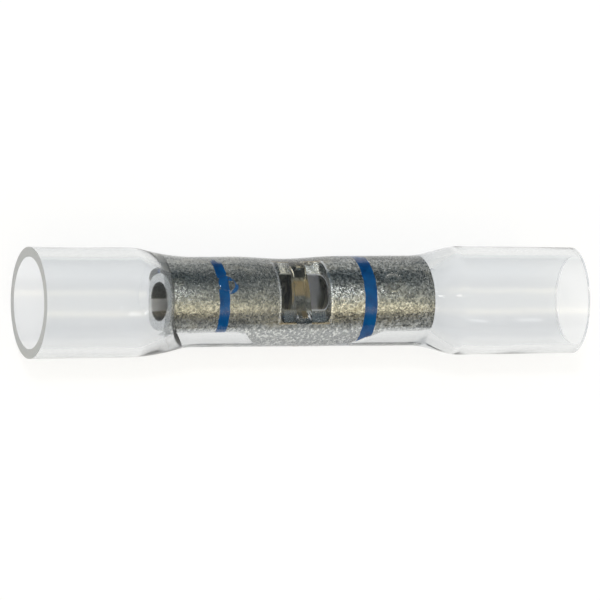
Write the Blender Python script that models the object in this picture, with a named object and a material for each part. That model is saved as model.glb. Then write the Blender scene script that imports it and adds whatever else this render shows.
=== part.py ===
"""Heat shrink butt connector for 1.5 to 2.5 mm2 wire, lying on its side.

A clear sleeve is shrunk onto a tinned copper crimp barrel and keeps its wide, open ends.
Two blue rings are printed round the barrel. A window is sawn across the top of the barrel, and
a strip of its wall is pressed down in the middle of the window, as the stop for both wires.

X runs along the tube and +Z is up. The sleeve's two free ends lie on Z = 0.
Angles round the tube are measured from the front, -Y, towards the top, +Z.
"""

import math

import bmesh
import bpy
from mathutils import Matrix, Vector

MM = 0.001

# Facets round every turned piece. One facet faces straight down, so the tube lies on a flat.
SIDES = 48
FACET_ANGLE = 2 * math.pi / SIDES
FLAT = math.cos(FACET_ANGLE / 2)

# Crimp barrel
BARREL_RADIUS = 2.0 * MM
BARREL_WALL = 0.72 * MM
BARREL_LENGTH = 18.5 * MM
BARREL_OFFSET = -0.65 * MM
BORE_CHAMFER = 0.25 * MM
EDGE_CHAMFER = 0.08 * MM

# Inspection window, sawn flat across the top, and the strip pressed down in it as a wire stop
WINDOW_LENGTH = 3.5 * MM
WINDOW_FROM_MIDDLE = 0.13 * MM
WINDOW_DEPTH = 1.1 * MM
WINDOW_CORNER = 0.45 * MM
CORNER_SEGMENTS = 5
STOP_WIDTH = 1.0 * MM
STOP_THICKNESS = 0.55 * MM
STOP_DIP = 0.75 * MM
STOP_SUNK = 0.04 * MM
STOP_ROOT = 0.14 * MM
STOP_CLEARANCE = 0.05 * MM
STOP_STEPS = 16

# Blue rings printed on the barrel
BAND_CLEARANCE = 0.01 * MM
LEFT_BAND_FROM_END = 3.68 * MM
LEFT_BAND_WIDTH = 0.7 * MM
RIGHT_BAND_FROM_END = 4.58 * MM
RIGHT_BAND_WIDTH = 0.85 * MM

# Clear sleeve
SLEEVE_LENGTH = 38.1 * MM
WAIST_WALL = 0.93 * MM
LEFT_END_RADIUS = 3.70 * MM
RIGHT_END_RADIUS = 3.60 * MM
RIGHT_MOUTH_RADIUS = 3.52 * MM
END_WALL = 0.64 * MM
SEAT_GAP = 0.05 * MM
MOUTH_CHAMFER = 0.04 * MM

# Shoulders, where the waist opens into the free ends. The lap is how far each one starts
# inside the barrel's end, and the lean draws the left one out along one side of the tube.
LEFT_SHOULDER_LAP = 2.2 * MM
LEFT_SHOULDER_LENGTH = 4.6 * MM
RIGHT_SHOULDER_LAP = 0.6 * MM
RIGHT_SHOULDER_LENGTH = 3.0 * MM
SHOULDER_STEPS = 10
LEFT_SHOULDER_LEAN = 0.45 * MM
LEAN_ANGLE = math.radians(154)

# Funnels inside, where the bores of the free ends close down to the barrel's ends
FUNNEL_LENGTH = 2.2 * MM
FUNNEL_STEPS = 8

# Shallow dip where the sleeve sinks towards the window
DIP_DEPTH = 0.22 * MM
DIP_FROM_WINDOW = -0.73 * MM
DIP_HALF_LENGTH = 3.6 * MM
DIP_ANGLE = math.radians(130)
DIP_HALF_ANGLE = math.radians(80)
DIP_STEPS = 10

# Radii and heights that follow from the sizes above
BORE_RADIUS = BARREL_RADIUS - BARREL_WALL
SEAT_RADIUS = BARREL_RADIUS + SEAT_GAP
WAIST_RADIUS = SEAT_RADIUS + WAIST_WALL
AXIS_HEIGHT = FLAT * (LEFT_END_RADIUS + RIGHT_END_RADIUS) / 2
WINDOW_FLOOR = BARREL_RADIUS - WINDOW_DEPTH
SAWN_EDGE = math.sqrt(BARREL_RADIUS**2 - WINDOW_FLOOR**2)

# Places along X that follow from the sizes above
LEFT_MOUTH_X = -SLEEVE_LENGTH / 2
RIGHT_MOUTH_X = SLEEVE_LENGTH / 2
BARREL_LEFT_X = BARREL_OFFSET - BARREL_LENGTH / 2
BARREL_RIGHT_X = BARREL_OFFSET + BARREL_LENGTH / 2
WINDOW_X = BARREL_OFFSET + WINDOW_FROM_MIDDLE
DIP_X = WINDOW_X + DIP_FROM_WINDOW
LEFT_WAIST_X = BARREL_LEFT_X + LEFT_SHOULDER_LAP
RIGHT_WAIST_X = BARREL_RIGHT_X - RIGHT_SHOULDER_LAP
LEFT_FREE_X = LEFT_WAIST_X - LEFT_SHOULDER_LENGTH
RIGHT_FREE_X = RIGHT_WAIST_X + RIGHT_SHOULDER_LENGTH


def smooth(share):
    """An S-curve from 0 to 1, flat at both ends."""
    share = min(max(share, 0.0), 1.0)
    return share * share * (3 - 2 * share)


def bump(share):
    """A soft bump: 1 in the middle, and 0 from one half-width outwards."""
    return smooth(1 - abs(share))


def free_radius(x):
    """Outer radius that the sleeve would have here if it hadn't been shrunk."""
    if x < BARREL_OFFSET:
        return LEFT_END_RADIUS
    share = min(max((x - RIGHT_FREE_X) / (RIGHT_MOUTH_X - RIGHT_FREE_X), 0.0), 1.0)
    return RIGHT_END_RADIUS + (RIGHT_MOUTH_RADIUS - RIGHT_END_RADIUS) * share


def outer_radius(x):
    """Outer radius of the sleeve, from its waist through the shoulders to the free ends."""
    left = smooth((LEFT_WAIST_X - x) / LEFT_SHOULDER_LENGTH)
    right = smooth((x - RIGHT_WAIST_X) / RIGHT_SHOULDER_LENGTH)
    return WAIST_RADIUS + (free_radius(x) - WAIST_RADIUS) * max(left, right)


def centre_height(x):
    """Height of a section's centre: the barrel's in the middle, and each free end on Z = 0."""
    left = smooth((BARREL_LEFT_X - x) / (BARREL_LEFT_X - LEFT_FREE_X))
    right = smooth((x - BARREL_RIGHT_X) / (RIGHT_FREE_X - BARREL_RIGHT_X))
    return AXIS_HEIGHT + (FLAT * free_radius(x) - AXIS_HEIGHT) * max(left, right)


def steps(start, end, count):
    """Evenly spaced places from start to end, both included."""
    return [start + (end - start) * i / count for i in range(count + 1)]


def clear_scene():
    """Removes whatever the startup scene holds."""
    for thing in list(bpy.data.objects):
        bpy.data.objects.remove(thing, do_unlink=True)


def finish_material(name, colour, roughness, metallic=0.0, transmission=0.0, ior=1.5):
    """A Principled material for one kind of piece."""
    material = bpy.data.materials.new(name)
    material.use_nodes = True
    shader = material.node_tree.nodes["Principled BSDF"]
    shader.inputs["Base Color"].default_value = (*colour, 1.0)
    shader.inputs["Roughness"].default_value = roughness
    shader.inputs["Metallic"].default_value = metallic
    shader.inputs["Transmission Weight"].default_value = transmission
    shader.inputs["IOR"].default_value = ior
    material.diffuse_color = (*colour, 1.0 - 0.6 * transmission)
    return material


def turned_mesh(profile):
    """Spins a closed outline of (x, radius) points once round the X axis, as a bmesh."""
    bm = bmesh.new()
    start = Matrix.Rotation(FACET_ANGLE / 2, 3, "X")
    corners = [bm.verts.new(start @ Vector((x, 0, radius))) for x, radius in profile]
    edges = [bm.edges.new(pair) for pair in zip(corners, corners[1:] + corners[:1])]
    bmesh.ops.spin(
        bm,
        geom=corners + edges,
        cent=(0, 0, 0),
        axis=(1, 0, 0),
        angle=2 * math.pi,
        steps=SIDES,
        use_merge=True,
    )
    bmesh.ops.recalc_face_normals(bm, faces=bm.faces)
    return bm


def add_object(name, bm, material, height=0.0):
    """Makes an object of a bmesh, at a height above the surface that the tube lies on."""
    mesh = bpy.data.meshes.new(name)
    bm.to_mesh(mesh)
    bm.free()
    mesh.shade_smooth()
    mesh.set_sharp_from_angle(angle=math.radians(32))
    mesh.materials.append(material)
    thing = bpy.data.objects.new(name, mesh)
    thing.location.z = height
    bpy.context.scene.collection.objects.link(thing)
    return thing


def sleeve_outside():
    """Outer points of the sleeve's outline, from the left mouth to the right one."""
    places = [LEFT_MOUTH_X + MOUTH_CHAMFER]
    places += steps(LEFT_FREE_X, LEFT_WAIST_X, SHOULDER_STEPS)
    places += steps(DIP_X - DIP_HALF_LENGTH, DIP_X + DIP_HALF_LENGTH, DIP_STEPS)
    places += steps(RIGHT_WAIST_X, RIGHT_FREE_X, SHOULDER_STEPS)
    places += [RIGHT_MOUTH_X - MOUTH_CHAMFER]
    return [(x, outer_radius(x)) for x in places]


def end_bore(x):
    """Radius of the bore in a free end."""
    return free_radius(x) - END_WALL


def funnel(end_x, outwards):
    """Inner points from a free end's bore to the seat at the barrel's end."""
    points = []
    for share in steps(1, 0, FUNNEL_STEPS):
        x = end_x + outwards * share * FUNNEL_LENGTH
        points.append((x, SEAT_RADIUS + (end_bore(x) - SEAT_RADIUS) * smooth(share)))
    return points


def sleeve_inside():
    """Inner points of the sleeve's outline, from the left mouth to the right one."""
    left = funnel(BARREL_LEFT_X, -1)
    right = funnel(BARREL_RIGHT_X, 1)[::-1]
    left_mouth = [
        (LEFT_MOUTH_X, end_bore(LEFT_MOUTH_X) + MOUTH_CHAMFER),
        (LEFT_MOUTH_X + MOUTH_CHAMFER, end_bore(LEFT_MOUTH_X)),
    ]
    right_mouth = [
        (RIGHT_MOUTH_X - MOUTH_CHAMFER, end_bore(RIGHT_MOUTH_X)),
        (RIGHT_MOUTH_X, end_bore(RIGHT_MOUTH_X) + MOUTH_CHAMFER),
    ]
    return left_mouth + left + right + right_mouth


def lean(x, angle):
    """How far a point of the left shoulder is drawn along X, for its side of the tube."""
    middle = (LEFT_FREE_X + LEFT_WAIST_X) / 2
    share = (x - middle) / (LEFT_SHOULDER_LENGTH / 2)
    return -LEFT_SHOULDER_LEAN * math.cos(angle - LEAN_ANGLE) * bump(share)


def dip(x, angle):
    """How far the sleeve's outside sinks towards the window here."""
    along = bump((x - DIP_X) / DIP_HALF_LENGTH)
    return DIP_DEPTH * along * bump((angle - DIP_ANGLE) / DIP_HALF_ANGLE)


def shape_sleeve(bm):
    """Leans the left shoulder, sinks the dip and lays both free ends on Z = 0."""
    for corner in bm.verts:
        x, y, z = corner.co
        angle = math.atan2(z, -y) % (2 * math.pi)
        radius = math.hypot(y, z)
        if radius > outer_radius(x) - MOUTH_CHAMFER - END_WALL / 2:
            sunk = 1 - dip(x, angle) / radius
            corner.co = (x + lean(x, angle), y * sunk, z * sunk)
        corner.co.z += centre_height(x)


def build_sleeve(material):
    """The clear heat shrink sleeve, lined with adhesive, as one turned and settled solid."""
    outside = sleeve_outside()
    left_rim = (LEFT_MOUTH_X, outer_radius(LEFT_MOUTH_X) - MOUTH_CHAMFER)
    right_rim = (RIGHT_MOUTH_X, outer_radius(RIGHT_MOUTH_X) - MOUTH_CHAMFER)
    outline = [left_rim] + outside + [right_rim] + sleeve_inside()[::-1]
    bm = turned_mesh(outline)
    shape_sleeve(bm)
    return add_object("heat_shrink_sleeve", bm, material)


def barrel_outline():
    """Outline of the barrel's wall, with a chamfered bore and eased outer edges."""
    left = BARREL_LEFT_X
    right = BARREL_RIGHT_X
    return [
        (left, BORE_RADIUS + BORE_CHAMFER),
        (left, BARREL_RADIUS - EDGE_CHAMFER),
        (left + EDGE_CHAMFER, BARREL_RADIUS),
        (right - EDGE_CHAMFER, BARREL_RADIUS),
        (right, BARREL_RADIUS - EDGE_CHAMFER),
        (right, BORE_RADIUS + BORE_CHAMFER),
        (right - BORE_CHAMFER, BORE_RADIUS),
        (left + BORE_CHAMFER, BORE_RADIUS),
    ]


def add_helper(name, bm, height):
    """A cutter or a piece to be joined on: shown as wire, and left out of renders."""
    mesh = bpy.data.meshes.new(name)
    bm.to_mesh(mesh)
    bm.free()
    helper = bpy.data.objects.new(name, mesh)
    helper.location.z = height
    helper.display_type = "WIRE"
    helper.hide_render = True
    bpy.context.scene.collection.objects.link(helper)
    return helper


def window_cutter():
    """The saw's path across the top of the barrel, with rounded lower corners."""
    bm = bmesh.new()
    bmesh.ops.create_cube(bm, size=1.0)
    size = Vector((WINDOW_LENGTH, 4 * BARREL_RADIUS, 2 * BARREL_RADIUS))
    bmesh.ops.scale(bm, vec=size, verts=bm.verts)
    place = Vector((WINDOW_X, 0, WINDOW_FLOOR + size.z / 2))
    bmesh.ops.translate(bm, vec=place, verts=bm.verts)
    lower = [
        edge
        for edge in bm.edges
        if all(corner.co.z < place.z for corner in edge.verts)
        and abs(edge.verts[0].co.y - edge.verts[1].co.y) > BARREL_RADIUS
    ]
    bmesh.ops.bevel(
        bm,
        geom=lower,
        offset=WINDOW_CORNER,
        segments=CORNER_SEGMENTS,
        profile=0.5,
        affect="EDGES",
    )
    return add_helper("window_cutter", bm, AXIS_HEIGHT)


def stop_height(y):
    """Height of the pressed strip's top over the tube's axis, at a place across the tube."""
    share = min(abs(y) / SAWN_EDGE, 1.0)
    return WINDOW_FLOOR - STOP_SUNK - STOP_DIP * (1 + math.cos(math.pi * share)) / 2


def bar_across(name, section, width):
    """A helper with a section of (y, z) points, as wide along X as said, across the window."""
    bm = bmesh.new()
    side = bm.faces.new([bm.verts.new((WINDOW_X - width / 2, y, z)) for y, z in section])
    made = bmesh.ops.extrude_face_region(bm, geom=[side])
    far = [thing for thing in made["geom"] if isinstance(thing, bmesh.types.BMVert)]
    bmesh.ops.translate(bm, vec=(width, 0, 0), verts=far)
    bmesh.ops.recalc_face_normals(bm, faces=bm.faces)
    return add_helper(name, bm, AXIS_HEIGHT)


def stop_strip():
    """The strip of wall that hangs across the bore, with its roots inside the wall."""
    reach = SAWN_EDGE - STOP_ROOT
    places = steps(-reach, reach, STOP_STEPS)
    top = [(y, stop_height(y) + STOP_CLEARANCE) for y in places]
    under = [(y, stop_height(y) - STOP_THICKNESS) for y in places]
    return bar_across("stop_strip", top + under[::-1], STOP_WIDTH)


def stop_groove():
    """The room over the strip, sheared through the window's sawn edges as it went down."""
    places = steps(-BARREL_RADIUS, BARREL_RADIUS, STOP_STEPS)
    floor = [(y, stop_height(y)) for y in places]
    over = [(BARREL_RADIUS, 2 * BARREL_RADIUS), (-BARREL_RADIUS, 2 * BARREL_RADIUS)]
    return bar_across("stop_groove", floor + over, STOP_WIDTH + 2 * STOP_CLEARANCE)


def build_barrel(material):
    """The tinned copper crimp barrel, with its window and its wire stop."""
    barrel = add_object("crimp_barrel", turned_mesh(barrel_outline()), material, AXIS_HEIGHT)
    for name, helper, operation in (
        ("saw_window", window_cutter(), "DIFFERENCE"),
        ("hang_stop", stop_strip(), "UNION"),
        ("clear_stop", stop_groove(), "DIFFERENCE"),
    ):
        boolean = barrel.modifiers.new(name, "BOOLEAN")
        boolean.object = helper
        boolean.operation = operation
        boolean.solver = "EXACT"
    return barrel


def build_band(name, middle, width, material):
    """One ring of blue ink round the barrel, under the sleeve."""
    inner = BARREL_RADIUS + BAND_CLEARANCE
    outer = SEAT_RADIUS - BAND_CLEARANCE
    left = middle - width / 2
    right = middle + width / 2
    outline = [(left, inner), (left, outer), (right, outer), (right, inner)]
    return add_object(name, turned_mesh(outline), material, AXIS_HEIGHT)


def main():
    """Builds the connector's pieces in their places."""
    clear_scene()
    clear = finish_material("clear_polyolefin", (0.90, 0.92, 0.93), 0.08, transmission=1.0)
    tin = finish_material("tinned_copper", (0.52, 0.52, 0.49), 0.42, metallic=1.0)
    blue = finish_material("blue_ink", (0.005, 0.10, 0.27), 0.45)
    build_sleeve(clear)
    build_barrel(tin)
    left_band = BARREL_LEFT_X + LEFT_BAND_FROM_END
    right_band = BARREL_RIGHT_X - RIGHT_BAND_FROM_END
    build_band("ink_band_left", left_band, LEFT_BAND_WIDTH, blue)
    build_band("ink_band_right", right_band, RIGHT_BAND_WIDTH, blue)


main()
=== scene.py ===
"""Looks of the heat shrink butt connector: its finishes, its fine forms, the studio and the camera.

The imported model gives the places. The tube lies along X, with the barrel's window facing up.
Sizes are in metres. Angles round the tube go from the front, -Y, towards the top, +Z.
"""

from __future__ import annotations

import logging
import math
from dataclasses import dataclass
from enum import Enum, IntEnum
from typing import Sequence

import bmesh
import bpy
from mathutils import Matrix, Vector, noise


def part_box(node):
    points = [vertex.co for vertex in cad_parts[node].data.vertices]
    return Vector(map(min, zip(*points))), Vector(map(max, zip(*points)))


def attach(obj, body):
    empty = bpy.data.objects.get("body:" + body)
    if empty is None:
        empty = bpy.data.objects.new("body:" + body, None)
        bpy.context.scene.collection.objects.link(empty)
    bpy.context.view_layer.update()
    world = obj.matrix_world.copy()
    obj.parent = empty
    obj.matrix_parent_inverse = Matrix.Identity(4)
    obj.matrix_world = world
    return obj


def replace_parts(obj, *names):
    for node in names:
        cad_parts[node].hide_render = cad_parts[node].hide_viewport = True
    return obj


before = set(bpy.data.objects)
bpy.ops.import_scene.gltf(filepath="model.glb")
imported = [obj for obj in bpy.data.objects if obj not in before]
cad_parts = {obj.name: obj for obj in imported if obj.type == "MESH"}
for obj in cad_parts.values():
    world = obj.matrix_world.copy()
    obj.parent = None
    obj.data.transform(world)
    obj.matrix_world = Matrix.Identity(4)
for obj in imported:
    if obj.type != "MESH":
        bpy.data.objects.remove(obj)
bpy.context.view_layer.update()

LOG = logging.getLogger("butt_connector")
MM = 0.001
FULL_TURN = 2 * math.pi
MODEL_FACETS = 48
WINDOW_SHIFT = 0.13 * MM
PLASTIC_IOR = 1.49
BLUE_INK = (0.001, 0.150, 0.50)
NOISE_RADIUS = 0.0035


def smooth(share: float) -> float:
    """Returns an S-curve from 0 to 1 that is flat at both ends."""
    share = min(max(share, 0.0), 1.0)
    return share * share * (3 - 2 * share)


def eased(share: float, soft: float) -> float:
    """Returns a straight ramp from 0 to 1 whose two ends bend softly.

    Args:
        share: Place along the ramp, from 0 to 1.
        soft: The share of the ramp that each bend takes.
    """
    share = min(max(share, 0.0), 1.0)
    steep = 1 / (1 - soft)
    if share < soft:
        return steep * share * share / (2 * soft)
    if share > 1 - soft:
        return 1 - steep * (1 - share) ** 2 / (2 * soft)
    return steep * (share - soft / 2)


def bump(share: float) -> float:
    """Returns a soft bump: 1 in the middle, and 0 from one half-width outwards."""
    return smooth(1 - abs(share))


def mix(one: float, two: float, share: float) -> float:
    """Returns the number that lies a share of the way from one to two."""
    return one + (two - one) * share


def spaced(start: float, end: float, step: float) -> list[float]:
    """Lists evenly spaced places.

    Args:
        start: The first place.
        end: The last place.
        step: The widest spacing allowed.

    Returns:
        The places, both ends included.
    """
    count = max(1, math.ceil(abs(end - start) / step))
    return [mix(start, end, i / count) for i in range(count + 1)]


def wobble(x: float, angle: float, scale: float, seed: float) -> float:
    """Reads smooth noise on the skin of a tube.

    Args:
        x: Place along the tube.
        angle: Place round the tube, in radians.
        scale: Lumps for each metre along the tube.
        seed: Which pattern is read.

    Returns:
        A number from about -1 to 1 that meets itself after a full turn.
    """
    round_scale = NOISE_RADIUS * scale
    spot = (x * scale, math.cos(angle) * round_scale, math.sin(angle) * round_scale + seed)
    return noise.noise(spot)


class Cut(Enum):
    """What a helper object does to the barrel."""

    AWAY = "DIFFERENCE"
    ONTO = "UNION"


class SleevePart(IntEnum):
    """The sleeve's finishes, by the numbers that its faces carry."""

    CLEAR = 0
    CUT_RIM = 1
    MELTED_LIP = 2


@dataclass(frozen=True)
class Stations:
    """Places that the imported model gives."""

    left_mouth: float
    right_mouth: float
    barrel_left: float
    barrel_right: float
    barrel_radius: float
    axis_height: float

    @classmethod
    def from_frame(cls) -> "Stations":
        """Reads the places from the nodes' boxes."""
        sleeve_low, sleeve_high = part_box("heat_shrink_sleeve")
        low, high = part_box("crimp_barrel")
        facet = math.cos(math.pi / MODEL_FACETS)
        return cls(
            left_mouth=sleeve_low[0],
            right_mouth=sleeve_high[0],
            barrel_left=low[0],
            barrel_right=high[0],
            barrel_radius=(high[1] - low[1]) / 2 / facet,
            axis_height=low[2] + (high[1] - low[1]) / 2,
        )

    @property
    def barrel_middle(self) -> float:
        """The barrel's middle along X."""
        return (self.barrel_left + self.barrel_right) / 2

    @property
    def barrel_length(self) -> float:
        """The barrel's length."""
        return self.barrel_right - self.barrel_left

    @property
    def window_x(self) -> float:
        """The window's middle along X."""
        return self.barrel_middle + WINDOW_SHIFT


PLACES = Stations.from_frame()


class Value:
    """A shader socket that Python's arithmetic works on."""

    def __init__(self, graph: "Graph", socket: bpy.types.NodeSocket) -> None:
        """Wraps one output socket of a graph's node."""
        self.graph = graph
        self.socket = socket

    def math(self, operation: str, *others: "Value | float") -> "Value":
        """Returns this value put through a Math node with others."""
        return self.graph.math(operation, self, *others)

    def __add__(self, other: "Value | float") -> "Value":
        """Adds."""
        return self.math("ADD", other)

    def __radd__(self, other: float) -> "Value":
        """Adds to a number."""
        return self.math("ADD", other)

    def __sub__(self, other: "Value | float") -> "Value":
        """Subtracts."""
        return self.math("SUBTRACT", other)

    def __rsub__(self, other: float) -> "Value":
        """Subtracts from a number."""
        return self.graph.math("SUBTRACT", other, self)

    def __mul__(self, other: "Value | float") -> "Value":
        """Multiplies."""
        return self.math("MULTIPLY", other)

    def __rmul__(self, other: float) -> "Value":
        """Multiplies a number."""
        return self.math("MULTIPLY", other)

    def __truediv__(self, other: "Value | float") -> "Value":
        """Divides."""
        return self.math("DIVIDE", other)

    def __abs__(self) -> "Value":
        """Drops the sign."""
        return self.math("ABSOLUTE")

    def rise(self, low: float, high: float) -> "Value":
        """Returns a smooth step from 0 at low to 1 at high, or the other way round."""
        settings = {"interpolation_type": "SMOOTHSTEP", "clamp": True}
        sockets = {"Value": self, "From Min": low, "From Max": high, "To Min": 0.0, "To Max": 1.0}
        return self.graph.node("ShaderNodeMapRange", settings, sockets)

    def near(self, middle: float, half_width: float) -> "Value":
        """Returns 1 at middle, falling smoothly to 0 a half-width away on both sides."""
        return abs(self - middle).rise(half_width, 0.0)


class Graph:
    """Builds one node tree."""

    def __init__(self, tree: bpy.types.NodeTree) -> None:
        """Starts on an empty tree."""
        self.tree = tree
        self.tree.nodes.clear()

    def node(
        self,
        kind: str,
        settings: dict[str, object] | None = None,
        sockets: dict[str | int, object] | None = None,
        output: str | int = 0,
    ) -> Value:
        """Adds a node.

        Args:
            kind: The node's type.
            settings: Its properties, and "stops" for a colour ramp, set before its sockets.
            sockets: Values or links for its inputs, by name or number.
            output: The output that is returned, by name or number.

        Returns:
            The chosen output.
        """
        made = self.tree.nodes.new(kind)
        for name, setting in (settings or {}).items():
            if name == "stops":
                self.set_stops(made.color_ramp, setting)
            else:
                setattr(made, name, setting)
        for name, value in (sockets or {}).items():
            if isinstance(value, Value):
                self.tree.links.new(value.socket, made.inputs[name])
            else:
                made.inputs[name].default_value = value
        return Value(self, made.outputs[output] if made.outputs else None)

    @staticmethod
    def set_stops(ramp: bpy.types.ColorRamp, stops: Sequence[tuple]) -> None:
        """Gives a colour ramp its stops of (place, colour)."""
        while len(ramp.elements) < len(stops):
            ramp.elements.new(1.0)
        for element, (place, colour) in zip(ramp.elements, stops):
            element.position = place
            element.color = (*colour, 1.0)

    def math(self, operation: str, *values: Value | float) -> Value:
        """Returns a Math node's result."""
        return self.node("ShaderNodeMath", {"operation": operation}, dict(enumerate(values)))

    def vector(self, operation: str, *values: object) -> Value:
        """Returns a Vector Math node's vector."""
        return self.node("ShaderNodeVectorMath", {"operation": operation}, dict(enumerate(values)))

    def blend(self, share: Value | float, one: object, two: object) -> Value:
        """Returns the colour that lies a share of the way from one to two."""
        sockets = {0: share, 6: self.opaque(one), 7: self.opaque(two)}
        return self.node("ShaderNodeMix", {"data_type": "RGBA"}, sockets, output=2)

    @staticmethod
    def opaque(colour: object) -> object:
        """Gives a plain colour the alpha that a socket wants."""
        return (*colour, 1.0) if isinstance(colour, tuple) else colour

    def split(self, vector: Value) -> tuple[Value, Value, Value]:
        """Returns a vector's three parts."""
        parts = self.node("ShaderNodeSeparateXYZ", sockets={0: vector}).socket.node
        return tuple(Value(self, parts.outputs[i]) for i in range(3))

    def join(self, x: object, y: object, z: object) -> Value:
        """Returns a vector made of three parts."""
        return self.node("ShaderNodeCombineXYZ", sockets={0: x, 1: y, 2: z})

    def noise(self, spot: Value, scale: float, detail: float, rough: float) -> Value:
        """Returns smooth noise from 0 to 1 at a spot."""
        sockets = {"Vector": spot, "Scale": scale, "Detail": detail, "Roughness": rough}
        return self.node("ShaderNodeTexNoise", sockets=sockets)

    def cells(self, spot: Value, scale: float) -> Value:
        """Returns the distance from a spot to the nearest cell's middle."""
        return self.node("ShaderNodeTexVoronoi", sockets={"Vector": spot, "Scale": scale})

    def relief(self, height: Value, depth: float) -> Value:
        """Returns a bumped normal, for a height of 0 to 1 that stands for a depth in metres."""
        sockets = {"Height": height, "Distance": depth, "Strength": 1.0}
        return self.node("ShaderNodeBump", sockets=sockets)


class TubeSpace:
    """Places on the tube for a material: millimetres from its axis, and the angle round it."""

    def __init__(self, graph: Graph) -> None:
        """Works the places out from Object coordinates."""
        self.graph = graph
        spot = graph.node("ShaderNodeTexCoord", output="Object")
        middle = graph.vector("SUBTRACT", spot, (0.0, 0.0, PLACES.axis_height))
        scaled = {0: middle, "Scale": 1 / MM}
        self.spot = graph.node("ShaderNodeVectorMath", {"operation": "SCALE"}, scaled)
        self.x, self.y, self.z = graph.split(self.spot)
        self.radius = (self.y * self.y + self.z * self.z).math("SQRT")
        self.angle = graph.math("ARCTAN2", self.z, 0.0 - self.y)

    def stretched(self, x: float, y: float, z: float) -> Value:
        """Returns the place with each of its parts scaled."""
        return self.graph.vector("MULTIPLY", self.spot, (x, y, z))

    def unrolled(self, x: float, turn: float) -> Value:
        """Returns a place of x and angle, each scaled, for lines along or round the tube."""
        return self.graph.join(self.x * x, self.angle * turn, self.radius * 0.2)


def new_material(name: str) -> tuple[bpy.types.Material, Graph]:
    """Makes an empty node material.

    Args:
        name: The material's name.

    Returns:
        The material and a graph on its tree.
    """
    material = bpy.data.materials.new(name)
    material.use_nodes = True
    return material, Graph(material.node_tree)


def put_shader(graph: Graph, sockets: dict[str, object], inside: Value | None = None) -> None:
    """Ends a material's graph in a Principled shader.

    Args:
        graph: The material's graph.
        sockets: The shader's values and links.
        inside: What fills the piece, if light passes through it.
    """
    ends = {"Surface": graph.node("ShaderNodeBsdfPrincipled", sockets=sockets)}
    if inside is not None:
        ends["Volume"] = inside
    graph.node("ShaderNodeOutputMaterial", sockets=ends)


@dataclass(frozen=True)
class ClearFinish:
    """Clear shrunk plastic: glassy, tinted with depth, with fine lines drawn along it."""

    clear: tuple[float, float, float] = (0.968, 0.975, 0.981)
    cloudy: tuple[float, float, float] = (0.968, 0.978, 0.986)
    depth_colour: tuple[float, float, float] = (0.81, 0.82, 0.825)
    depth_density: float = 600.0
    shine: float = 0.45
    smooth_roughness: float = 0.015
    cloudy_roughness: float = 0.07
    line_depth: float = 0.0015 * MM

    def build(self) -> bpy.types.Material:
        """Makes the material."""
        material, graph = new_material("clear_polyolefin")
        tube = TubeSpace(graph)
        cloud = graph.noise(tube.stretched(0.5, 1.0, 1.0), 0.7, 3.0, 0.6).rise(0.38, 0.72)
        lines = graph.noise(tube.unrolled(0.12, 14.0), 1.0, 3.0, 0.6)
        shading = {
            "Base Color": graph.blend(cloud, self.clear, self.cloudy),
            "Roughness": self.smooth_roughness
            + cloud * (self.cloudy_roughness - self.smooth_roughness),
            "IOR": PLASTIC_IOR,
            "Transmission Weight": 1.0,
            "Specular Tint": (self.shine, self.shine, self.shine, 1.0),
            "Normal": graph.relief(lines, self.line_depth),
        }
        inside = graph.node(
            "ShaderNodeVolumeAbsorption",
            sockets={"Color": (*self.depth_colour, 1.0), "Density": self.depth_density},
        )
        put_shader(graph, shading, inside)
        return material


@dataclass(frozen=True)
class MilkyFinish:
    """A milky part of the sleeve: a rim that a blade cut, or lining that melted."""

    name: str
    milk: tuple[float, float, float] = (0.62, 0.64, 0.67)
    scratch: tuple[float, float, float] = (0.50, 0.52, 0.53)
    clear: float = 0.30
    matt: float = 0.35
    mark_depth: float = 0.01 * MM

    def build(self) -> bpy.types.Material:
        """Makes the material."""
        material, graph = new_material(self.name)
        tube = TubeSpace(graph)
        marks = graph.noise(tube.spot, 3.0, 3.0, 0.6)
        shading = {
            "Base Color": graph.blend(marks * 0.1, self.milk, self.scratch),
            "Roughness": self.matt + 0.25 * self.matt * marks,
            "IOR": PLASTIC_IOR,
            "Transmission Weight": self.clear,
            "Normal": graph.relief(marks, self.mark_depth),
        }
        put_shader(graph, shading)
        return material


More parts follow.
